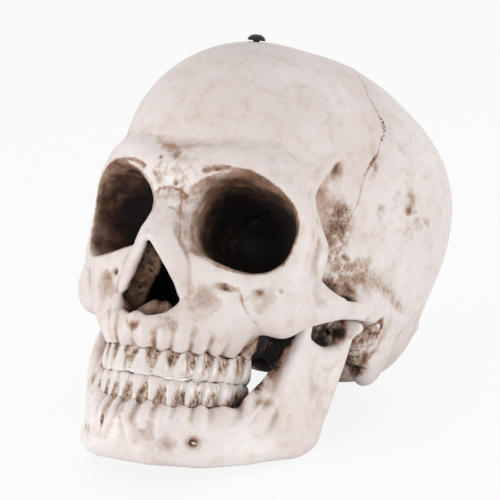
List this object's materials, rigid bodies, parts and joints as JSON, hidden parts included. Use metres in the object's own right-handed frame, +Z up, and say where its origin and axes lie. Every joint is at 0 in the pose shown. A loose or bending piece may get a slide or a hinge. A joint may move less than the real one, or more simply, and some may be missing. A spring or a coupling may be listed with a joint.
{
  "type": "anatomical skull model",
  "caption": "Life-size anatomical skull model: hollow head in five castings, hinged sprung lower jaw, separate teeth, leaning back on jaw and occiput.",
  "frame": {"origin": "on the table, under the centre of the whole skull's box, as it stands leaning back on the jaw's angles and the back of the head", "axes": "+X to the skull's own left, -Y the way the face looks, +Z up from the table"},
  "size_m": [0.1403, 0.2268, 0.1693],
  "materials": {
    "bone_resin": "satin cast resin with brown stain in its recesses",
    "tooth_resin": "cast resin, glossier than the bone",
    "dark_steel": "blackened steel",
    "steel": "plain spring steel"
  },
  "bodies": {
    "cranium": {"frontal_bone": "bone_resin", "parietal_vault": "bone_resin", "left_facial_bones": "bone_resin", "right_facial_bones": "bone_resin", "skull_base": "bone_resin", "crown_screw": "dark_steel", "left_jaw_spring": "steel", "right_jaw_spring": "steel", "left_spring_screw_cranium": "steel", "right_spring_screw_cranium": "steel", "upper_left_central_incisor": "tooth_resin", "upper_left_lateral_incisor": "tooth_resin", "upper_left_canine": "tooth_resin", "upper_left_first_premolar": "tooth_resin", "upper_left_second_premolar": "tooth_resin", "upper_left_first_molar": "tooth_resin", "upper_left_second_molar": "tooth_resin", "upper_right_central_incisor": "tooth_resin", "upper_right_lateral_incisor": "tooth_resin", "upper_right_canine": "tooth_resin", "upper_right_first_premolar": "tooth_resin", "upper_right_second_premolar": "tooth_resin", "upper_right_first_molar": "tooth_resin", "upper_right_second_molar": "tooth_resin"},
    "mandible": {"mandible": "bone_resin", "left_spring_screw_jaw": "steel", "right_spring_screw_jaw": "steel", "lower_left_central_incisor": "tooth_resin", "lower_left_lateral_incisor": "tooth_resin", "lower_left_canine": "tooth_resin", "lower_left_first_premolar": "tooth_resin", "lower_left_second_premolar": "tooth_resin", "lower_left_first_molar": "tooth_resin", "lower_left_second_molar": "tooth_resin", "lower_right_central_incisor": "tooth_resin", "lower_right_lateral_incisor": "tooth_resin", "lower_right_canine": "tooth_resin", "lower_right_first_premolar": "tooth_resin", "lower_right_second_premolar": "tooth_resin", "lower_right_first_molar": "tooth_resin", "lower_right_second_molar": "tooth_resin"}
  },
  "joints": [
    {"name": "jaw_hinge", "type": "hinge", "parent": "cranium", "child": "mandible", "pos_m": [0, -0.00565, 0.04633], "axis": [1, 0, 0], "range_deg": [0, 20], "stiffness_Nm_per_rad": 0.15, "springref_deg": -34.38, "deforming": ["left_jaw_spring", "right_jaw_spring"]}
  ]
}
